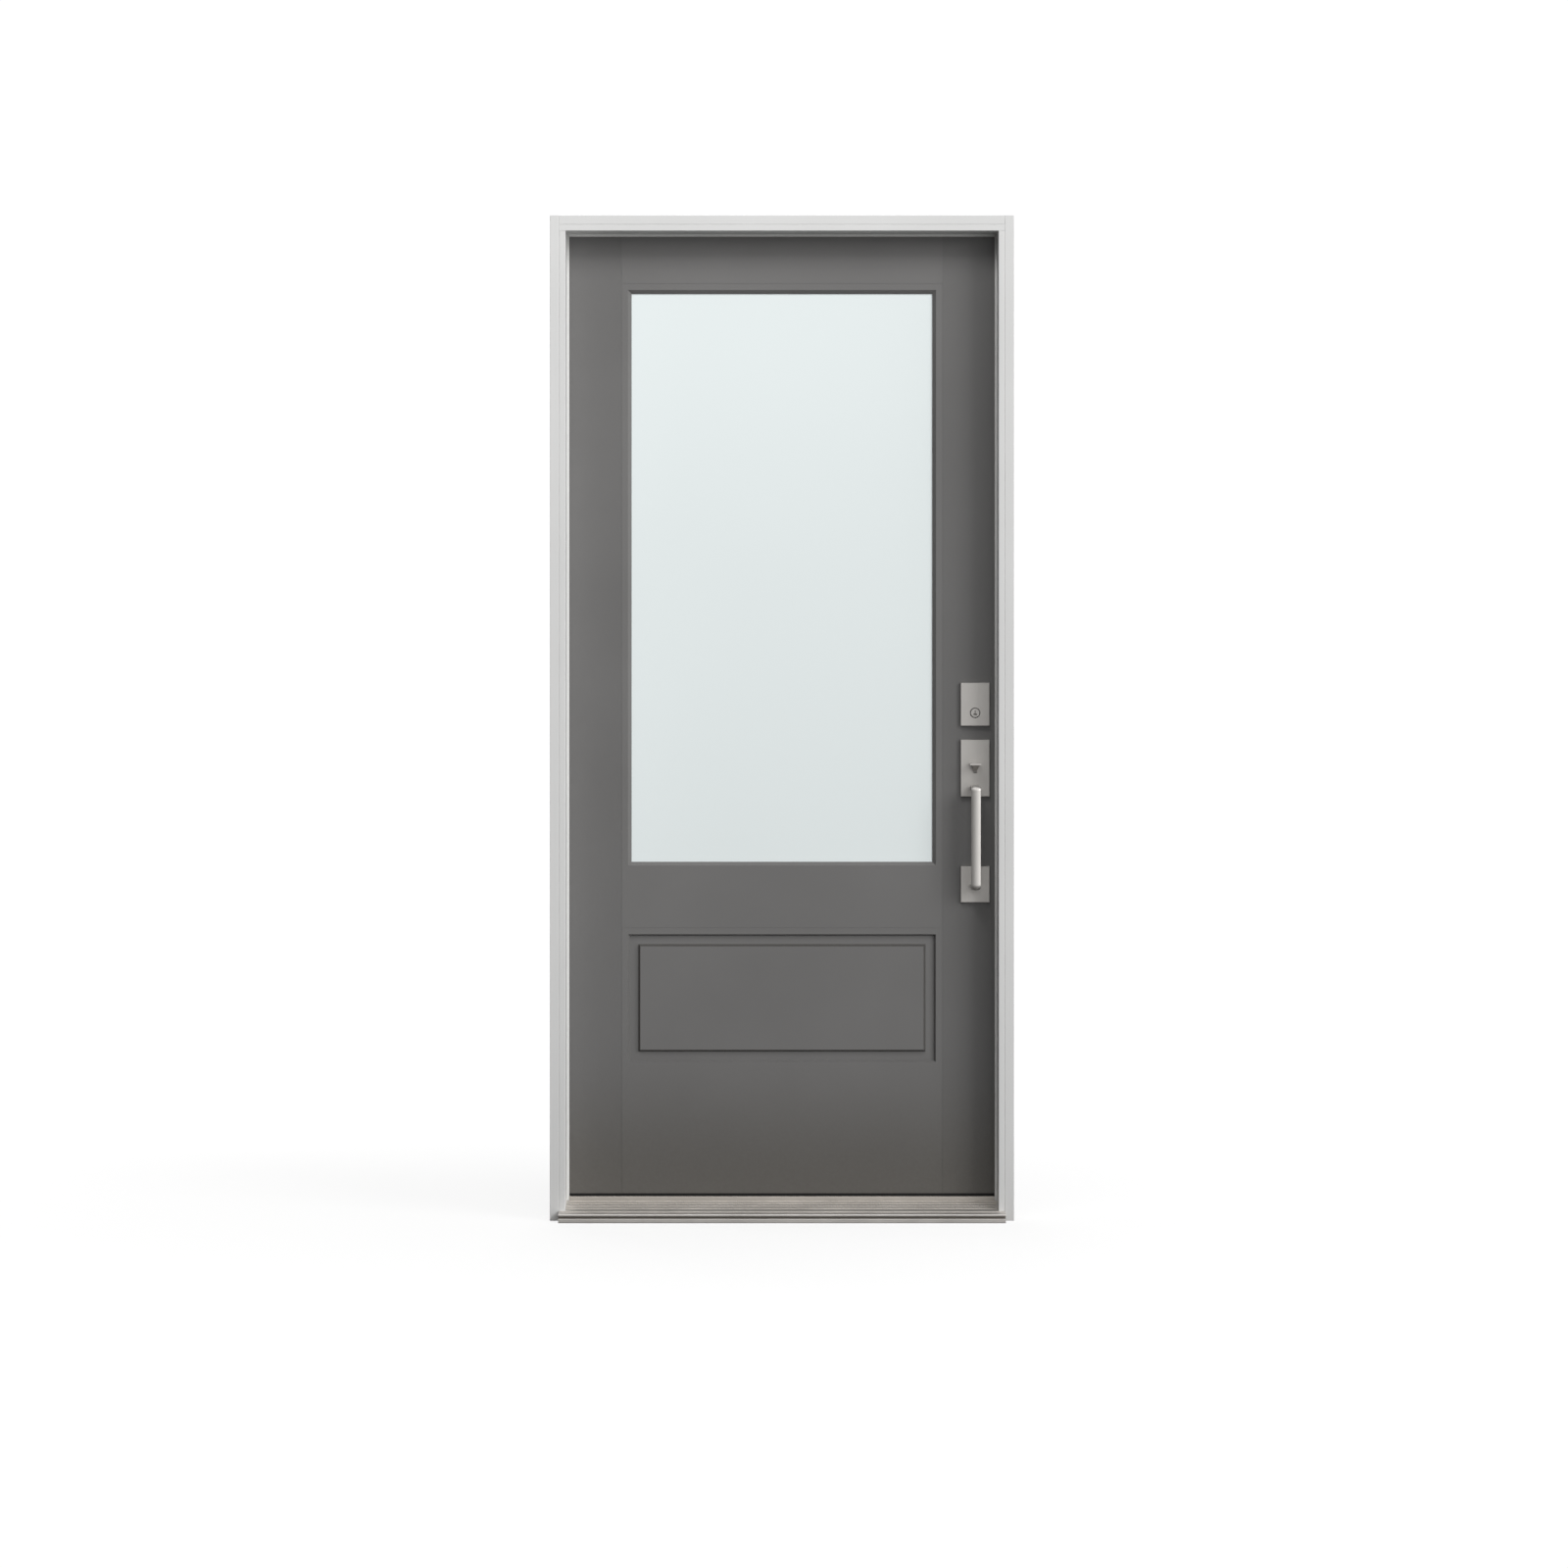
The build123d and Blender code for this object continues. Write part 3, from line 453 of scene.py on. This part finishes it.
shade = add(
    tree,
    "Mix",
    {0: even.outputs["Result"], 6: colour("#6F6558"), 7: colour("#958A7A")},
    data_type="RGBA",
)
tree.links.new(shade.outputs[2], shader.inputs["Base Color"])
bump = add(tree, "Bump", {"Height": mixed.outputs[0], "Strength": 0.4, "Distance": 0.0004})
tree.links.new(bump.outputs["Normal"], shader.inputs["Normal"])
dress(composite, "sill_core")

# The leaf's skins: compression-moulded fiberglass, smooth, painted warm mid grey in a low satin.
# The glass strands telegraph as a very fine ripple that softens the light, and the sprayed paint
# adds an even orange peel. Outside the joint lines, on the stiles, the colour is drawn a little
# darker, as in the photo. A bead with the same paint holds the glass from inside.
strand_size = 0.006
paint_peel = 0.0016
tint_size = 0.3333
joint_line = 0.3316
stile_shade = "#F4F4F4"
skin_paint, tree, shader = surface("grey_paint_on_moulded_fiberglass", Roughness=0.46, IOR=1.5)
place = add(tree, "TexCoord").outputs["Object"]
strands = add(
    tree,
    "TexNoise",
    {"Vector": place, "Scale": 1 / strand_size, "Detail": 3.0, "Distortion": 0.8},
)
peel = add(tree, "TexNoise", {"Vector": place, "Scale": 1 / paint_peel, "Detail": 1.0})
clouds = add(tree, "TexNoise", {"Vector": place, "Scale": 1 / tint_size, "Detail": 3.0})
even = add(tree, "MapRange", {"Value": clouds.outputs["Fac"], "From Min": 0.3, "From Max": 0.7})
shade = add(
    tree,
    "Mix",
    {0: even.outputs["Result"], 6: colour("#706F6E"), 7: colour("#767574")},
    data_type="RGBA",
)
parts = add(tree, "SeparateXYZ", {"Vector": place})
beside = add(tree, "Math", {0: parts.outputs["X"]}, operation="ABSOLUTE")
on_stile = add(tree, "Math", {0: beside.outputs[0], 1: joint_line}, operation="GREATER_THAN")
shade = add(
    tree,
    "Mix",
    {0: on_stile.outputs[0], 6: shade.outputs[2], 7: colour(stile_shade)},
    data_type="RGBA",
    blend_type="MULTIPLY",
)

# Painted shade lies along the wall of the panel's raised field and darkens its outline, for the
# shade in that corner. How far a place is outside the panel is the greater of how far it is past
# the side and past the top or foot, negative inside. The painted shade is full where that is minus
# the wall's inset, and it fades on both sides of there.
panel_half_width = 0.318
panel_half_height = 0.132
panel_middle = 0.4525
field_wall_inset = 0.023
shade_half_width = (0.0012, 0.0034)
painted_wall_shade_colour = "#C8C6C2"
outward = add(tree, "Math", {0: beside.outputs[0], 1: panel_half_width}, operation="SUBTRACT")
height = add(tree, "Math", {0: parts.outputs["Z"], 1: panel_middle}, operation="SUBTRACT")
height = add(tree, "Math", {0: height.outputs[0]}, operation="ABSOLUTE")
upward = add(tree, "Math", {0: height.outputs[0], 1: panel_half_height}, operation="SUBTRACT")
outside = add(tree, "Math", {0: outward.outputs[0], 1: upward.outputs[0]}, operation="MAXIMUM")
off_wall = add(tree, "Math", {0: outside.outputs[0], 1: field_wall_inset}, operation="ADD")
off_wall = add(tree, "Math", {0: off_wall.outputs[0]}, operation="ABSOLUTE")
painted_wall_shade = add(
    tree,
    "MapRange",
    {
        "Value": off_wall.outputs[0],
        "From Min": shade_half_width[0],
        "From Max": shade_half_width[1],
        "To Min": 1.0,
        "To Max": 0.0,
    },
    interpolation_type="SMOOTHSTEP",
)
shade = add(
    tree,
    "Mix",
    {0: painted_wall_shade.outputs["Result"], 6: shade.outputs[2], 7: colour(painted_wall_shade_colour)},
    data_type="RGBA",
    blend_type="MULTIPLY",
)

# Painted shade darkens the foot of the leaf, where the sill shades it, mottled by the strand
# pattern.
foot_shade_span = (0.05, 0.36)
foot_shade_colour = "#5C5954"
foot_shade = add(
    tree,
    "MapRange",
    {
        "Value": parts.outputs["Z"],
        "From Min": foot_shade_span[0],
        "From Max": foot_shade_span[1],
        "To Min": 1.0,
        "To Max": 0.0,
    },
    interpolation_type="SMOOTHSTEP",
)
patchy = add(tree, "MapRange", {"Value": strands.outputs["Fac"], "To Min": 0.7, "To Max": 1.0})
foot_shade_amount = add(
    tree,
    "Math",
    {0: foot_shade.outputs["Result"], 1: patchy.outputs["Result"]},
    operation="MULTIPLY",
)
foot_shaded = add(
    tree,
    "Mix",
    {0: foot_shade_amount.outputs[0], 6: shade.outputs[2], 7: colour(foot_shade_colour)},
    data_type="RGBA",
)
tree.links.new(foot_shaded.outputs[2], shader.inputs["Base Color"])
dull = add(tree, "MapRange", {"Value": strands.outputs["Fac"], "To Min": 0.4, "To Max": 0.54})
tree.links.new(dull.outputs["Result"], shader.inputs["Roughness"])
ripple = add(
    tree,
    "Bump",
    {"Height": strands.outputs["Fac"], "Strength": 0.06, "Distance": 0.0004},
)
bump = add(
    tree,
    "Bump",
    {
        "Height": peel.outputs["Fac"],
        "Strength": 0.08,
        "Distance": 0.0001,
        "Normal": ripple.outputs["Normal"],
    },
)
tree.links.new(bump.outputs["Normal"], shader.inputs["Normal"])
dress(skin_paint, "exterior_skin", "interior_skin", "glazing_bead")

# Inside the leaf: stiles and rails of laminated timber round a core of poured foam. The timber
# shows only on the leaf's edges, under paint as grey as the skins but thinner, so that its long
# grain and its glue lines can be seen.
ply_thickness = 0.009
ply_waver = 0.3
timber_grain_width = 0.0025
timber_grain_length = 0.1667
timber, tree, shader = surface("grey_paint_on_laminated_timber", Roughness=0.6, IOR=1.45)
place = add(tree, "TexCoord").outputs["Object"]
layer_place = add(tree, "Mapping", {"Vector": place, "Scale": (1.0, 1 / ply_thickness, ply_waver)})
plies = add(
    tree,
    "TexWave",
    {"Vector": layer_place.outputs["Vector"], "Scale": 0.5, "Distortion": 0.4},
    bands_direction="Y",
)
grain_scale = (1 / timber_grain_width, 1 / timber_grain_width, 1 / timber_grain_length)
grain_place = add(tree, "Mapping", {"Vector": place, "Scale": grain_scale})
grain = add(
    tree,
    "TexNoise",
    {"Vector": grain_place.outputs["Vector"], "Scale": 1.0, "Detail": 5.0},
)
mixed = add(
    tree,
    "Math",
    {0: plies.outputs["Fac"], 1: 0.1, 2: grain.outputs["Fac"]},
    operation="MULTIPLY_ADD",
)
even = add(tree, "MapRange", {"Value": mixed.outputs[0], "From Min": 0.3, "From Max": 0.9})
shade = add(
    tree,
    "Mix",
    {0: even.outputs["Result"], 6: colour("#656360"), 7: colour("#726F6C")},
    data_type="RGBA",
)
tree.links.new(shade.outputs[2], shader.inputs["Base Color"])
bump = add(tree, "Bump", {"Height": grain.outputs["Fac"], "Strength": 0.2, "Distance": 0.0003})
tree.links.new(bump.outputs["Normal"], shader.inputs["Normal"])
dress(timber, "hinge_stile", "lock_stile", "top_rail", "bottom_rail")

# Poured foam is dead matt and pale yellow, with closed cells about a millimetre across.
cell_size = 0.0011
foam, tree, shader = surface("poured_insulating_foam", Roughness=0.95)
place = add(tree, "TexCoord").outputs["Object"]
cells = add(tree, "TexVoronoi", {"Vector": place, "Scale": 1 / cell_size})
shade = add(
    tree,
    "Mix",
    {0: cells.outputs["Distance"], 6: colour("#D9CC9A"), 7: colour("#EFE6BE")},
    data_type="RGBA",
)
tree.links.new(shade.outputs[2], shader.inputs["Base Color"])
bump = add(tree, "Bump", {"Height": cells.outputs["Distance"], "Strength": 0.6, "Distance": 0.0006})
tree.links.new(bump.outputs["Normal"], shader.inputs["Normal"])
dress(foam, "foam_core")

# The glass: a sealed unit of two panes, satin-etched on its inner faces, so that it glows pale
# and even with a faint cyan cast and keeps a polished outer face. The etch is finer than a render
# shows and is drawn as a mottle of 0.4 mm grains. A roll-formed spacer holds the panes apart.
etch_grain = 0.0004
etch_drift = 0.5
etched, tree, shader = surface(
    "satin_etched_glass",
    Roughness=0.3,
    IOR=1.5,
    Coat_Weight=1.0,
    Coat_Roughness=0.02,
)
place = add(tree, "TexCoord").outputs["Object"]
etching = add(tree, "TexNoise", {"Vector": place, "Scale": 1 / etch_drift, "Detail": 1.0})
speckle = add(tree, "TexNoise", {"Vector": place, "Scale": 1 / etch_grain, "Detail": 0.0})
mixed = add(
    tree,
    "Math",
    {0: speckle.outputs["Fac"], 1: 0.3, 2: etching.outputs["Fac"]},
    operation="MULTIPLY_ADD",
)
shade = add(
    tree,
    "Mix",
    {0: mixed.outputs[0], 6: colour("#F2FAFA"), 7: colour("#F6FEFE")},
    data_type="RGBA",
)
tree.links.new(shade.outputs[2], shader.inputs["Base Color"])
dull = add(tree, "MapRange", {"Value": speckle.outputs["Fac"], "To Min": 0.26, "To Max": 0.36})
tree.links.new(dull.outputs["Result"], shader.inputs["Roughness"])
dress(etched, "glass_panes")

# Roll-formed aluminium is bright, with faint marks of the rolls every few millimetres.
roll_mark = 0.0033
spacer_metal, tree, shader = surface("roll_formed_aluminium", Metallic=1.0, Roughness=0.35)
place = add(tree, "TexCoord").outputs["Object"]
rolled = add(tree, "TexNoise", {"Vector": place, "Scale": 1 / roll_mark, "Detail": 3.0})
shade = add(
    tree,
    "Mix",
    {0: rolled.outputs["Fac"], 6: colour("#BFBFBF"), 7: colour("#CFCFCF")},
    data_type="RGBA",
)
tree.links.new(shade.outputs[2], shader.inputs["Base Color"])
bump = add(tree, "Bump", {"Height": rolled.outputs["Fac"], "Strength": 0.1, "Distance": 0.0001})
tree.links.new(bump.outputs["Normal"], shader.inputs["Normal"])
dress(spacer_metal, "glass_spacer")

# The sweep under the leaf: one extrusion of black soft vinyl, with a base fixed to the bottom
# rail and fins that wipe the cap. It stays dull black, and dust greys it in spots.
dust_spot = 0.0067
vinyl, tree, shader = surface("black_soft_vinyl", Roughness=0.6)
place = add(tree, "TexCoord").outputs["Object"]
dust = add(tree, "TexNoise", {"Vector": place, "Scale": 1 / dust_spot})
shade = add(
    tree,
    "Mix",
    {0: dust.outputs["Fac"], 6: colour("#050505"), 7: colour("#0F0E0E")},
    data_type="RGBA",
)
tree.links.new(shade.outputs[2], shader.inputs["Base Color"])
dull = add(tree, "MapRange", {"Value": dust.outputs["Fac"], "To Min": 0.5, "To Max": 0.75})
tree.links.new(dull.outputs["Result"], shader.inputs["Roughness"])
bump = add(tree, "Bump", {"Height": dust.outputs["Fac"], "Strength": 0.15, "Distance": 0.0003})
tree.links.new(bump.outputs["Normal"], shader.inputs["Normal"])
dress(vinyl, "door_sweep")

# The furniture: zinc castings and bars plated in satin nickel, screwed to each other through the
# leaf. A fine belt brushes them upright before plating, which gives a warm sheen, drawn out across
# the lines. The lines are finer than a render shows and are drawn 0.4 mm apart.
brush_pitch = 0.0004
brush_length = 0.03
touch_size = 0.025
nickel, tree, shader = surface("satin_nickel_plate", Metallic=1.0, Roughness=0.55)
place = add(tree, "TexCoord").outputs["Object"]
line_place = add(
    tree,
    "Mapping",
    {"Vector": place, "Scale": (1 / brush_pitch, 1 / brush_pitch, 1 / brush_length)},
)
lines = add(tree, "TexNoise", {"Vector": line_place.outputs["Vector"], "Scale": 1.0, "Detail": 3.0})
touch = add(tree, "TexNoise", {"Vector": place, "Scale": 1 / touch_size, "Detail": 2.0})
shade = add(
    tree,
    "Mix",
    {0: lines.outputs["Fac"], 6: colour("#C7C4C0"), 7: colour("#D5D2CE")},
    data_type="RGBA",
)
tree.links.new(shade.outputs[2], shader.inputs["Base Color"])
mixed = add(tree, "Math", {0: lines.outputs["Fac"], 1: touch.outputs["Fac"]}, operation="ADD")
dull = add(
    tree,
    "MapRange",
    {
        "Value": mixed.outputs[0],
        "From Min": 0.6,
        "From Max": 1.4,
        "To Min": 0.5,
        "To Max": 0.6,
    },
)
tree.links.new(dull.outputs["Result"], shader.inputs["Roughness"])
bump = add(tree, "Bump", {"Height": lines.outputs["Fac"], "Strength": 0.1, "Distance": 0.0001})
tree.links.new(bump.outputs["Normal"], shader.inputs["Normal"])
outside_pieces = ("deadbolt_plate", "lock_cylinder", "key_plug", "handle_plate", "thumb_piece")
grip_pieces = ("pull_grip", "grip_foot_plate")
inside_pieces = ("lever_plate", "inside_lever", "turn_plate", "thumb_turn")
bolt_pieces = ("deadbolt_faceplate", "deadbolt_bolt", "latch_faceplate", "latch_bolt")
strikes = ("deadbolt_strike", "latch_strike")
dress(nickel, *outside_pieces, *grip_pieces, *inside_pieces, *bolt_pieces, *strikes)

# The screws of the furniture: cold-headed steel with flat heads and crossed slots, plated like
# the plates that they hold. Two hold each strike and each edge plate, and two go through each
# plate on the inner side into the outer one.
strike_face = 0.4572
strike_screw_rise = 0.0255
strike_screw_radius = 0.0036
edge_face = 0.45095
edge_slope = (0.9987, -0.0516, 0)
edge_screw_rise = 0.0215
edge_screw_radius = 0.0034
slab_middle = 0.09225
bolt_heights = (0.9026, 1.0423)
inner_plate_face = 0.1235
inner_screw_radius = 0.0032
lock_line = 0.399
inner_plate_places = ((0, 0.8775), (0, 0.9786), (-0.022, 1.0962), (0.022, 1.0235))
screw_rings = np.linspace(0, 1, 15)
screw_spokes = np.linspace(0, 2 * np.pi, 57)[:-1]
screw_turns = np.random.default_rng(3)


def screw_heads(name, places, facing, radius, material, body):
    """Lays cross-slotted heads on flat faces, each turned by a random angle about its own axis.

    A head is a grid of rings and spokes, measured in shares of its radius. Its height is that of
    a shallow dome, which falls with the square of the distance from the middle, and its last ring
    is tucked under the face. A cross of two bars is sunk in the dome: the depth is a smooth step
    of how far a point is inside the nearer bar and the slot's reach, so the walls slope as those
    made by a punch do.
    """
    rim, crown, tuck = 0.09, 0.06, 0.02
    slot_depth, slot_half, slot_reach, slot_slope = 0.14, 0.13, 0.58, 0.07
    ring, spoke = np.meshgrid(screw_rings, screw_spokes, indexing="ij")
    across, along = ring * np.cos(spoke), ring * np.sin(spoke)
    off_bar = np.minimum(np.abs(across), np.abs(along)) - slot_half
    inside = np.clip(-np.maximum(off_bar, ring - slot_reach) / slot_slope, 0, 1)
    height = rim + crown * (1 - ring**2) - slot_depth * inside**2 * (3 - 2 * inside)
    height[-1] = -tuck
    count = len(screw_spokes)
    row, column = np.meshgrid(np.arange(len(screw_rings) - 1), np.arange(count), indexing="ij")
    near, far, step = row * count, (row + 1) * count, (column + 1) % count
    quads = np.stack([near + column, far + column, far + step, near + step], -1)
    facing = np.array(facing, float)
    side = np.cross((0, 0, 1), facing)
    points, faces = [], []
    for number, middle in enumerate(places):
        angle = screw_turns.uniform(0, np.pi / 2)
        right = np.cos(angle) * side + np.sin(angle) * np.array((0, 0, 1))
        up = np.cross(facing, right)
        head = np.outer(across, right) + np.outer(along, up) + np.outer(height, facing)
        points.append(np.array(middle) + radius * head)
        faces.append(quads.reshape(-1, 4) + number * len(head))
    piece = mesh_piece(name, np.concatenate(points), np.concatenate(faces).tolist(), material)
    piece.data.shade_smooth()
    closed = bmesh.new()
    closed.from_mesh(piece.data)
    bmesh.ops.remove_doubles(closed, verts=closed.verts, dist=1e-7)
    closed.to_mesh(piece.data)
    closed.free()
    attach(piece, body)


strike_rises = (-strike_screw_rise, strike_screw_rise)
screw_heads(
    "strike_screws",
    [(strike_face, slab_middle, z + rise) for z in bolt_heights for rise in strike_rises],
    (-1, 0, 0),
    strike_screw_radius,
    nickel,
    "frame",
)
edge_rises = (-edge_screw_rise, edge_screw_rise)
screw_heads(
    "edge_plate_screws",
    [(edge_face, slab_middle, z + rise) for z in bolt_heights for rise in edge_rises],
    edge_slope,
    edge_screw_radius,
    nickel,
    "door_leaf",
)
screw_heads(
    "inner_plate_screws",
    [(lock_line + x, inner_plate_face, z) for x, z in inner_plate_places],
    (0, 1, 0),
    inner_screw_radius,
    nickel,
    "door_leaf",
)

# The hinges: pressed steel leaves and turned pins, zinc plated and passivated to a satin grey.
# Fine rolling lines along their height and the zinc's faint spangle break up the sheen. Four
# staggered screws hold each leaf.
rolling_line_width = 0.00111
rolling_line_length = 0.0833
spangle_size = 0.00556
hinge_steel, tree, shader = surface("satin_zinc_plated_steel", Metallic=1.0, Roughness=0.34)
place = add(tree, "TexCoord").outputs["Object"]
line_scale = (1 / rolling_line_width, 1 / rolling_line_width, 1 / rolling_line_length)
line_place = add(tree, "Mapping", {"Vector": place, "Scale": line_scale})
lines = add(tree, "TexNoise", {"Vector": line_place.outputs["Vector"], "Scale": 1.0, "Detail": 3.0})
spangle = add(
    tree,
    "TexVoronoi",
    {"Vector": place, "Scale": 1 / spangle_size},
    feature="SMOOTH_F1",
)
mixed = add(
    tree,
    "Math",
    {0: spangle.outputs["Distance"], 1: 0.4, 2: lines.outputs["Fac"]},
    operation="MULTIPLY_ADD",
)
shade = add(
    tree,
    "Mix",
    {0: mixed.outputs[0], 6: colour("#A39F9A"), 7: colour("#BBB7B2")},
    data_type="RGBA",
)
tree.links.new(shade.outputs[2], shader.inputs["Base Color"])
dull = add(tree, "MapRange", {"Value": mixed.outputs[0], "To Min": 0.28, "To Max": 0.42})
tree.links.new(dull.outputs["Result"], shader.inputs["Roughness"])
bump = add(tree, "Bump", {"Height": lines.outputs["Fac"], "Strength": 0.1, "Distance": 0.0001})
tree.links.new(bump.outputs["Normal"], shader.inputs["Normal"])
for level in ("upper", "middle", "lower"):
    dress(hinge_steel, f"{level}_hinge_frame_leaf", f"{level}_hinge_door_leaf")
dress(hinge_steel, "hinge_pins")

hinge_heights = (1.810, 1.095, 0.380)
hinge_screw_radius = 0.0042
screw_stagger = ((-0.038, 0.086), (-0.013, 0.103), (0.013, 0.086), (0.038, 0.103))
frame_leaf_face = -0.4572
door_leaf_face = -0.4522
for name, face, facing, body in (
    ("hinge_screws_in_frame", frame_leaf_face, (1, 0, 0), "frame"),
    ("hinge_screws_in_leaf", door_leaf_face, (-1, 0, 0), "door_leaf"),
):
    screw_heads(
        name,
        [(face, y, z + rise) for z in hinge_heights for rise, y in screw_stagger],
        facing,
        hinge_screw_radius,
        hinge_steel,
        body,
    )
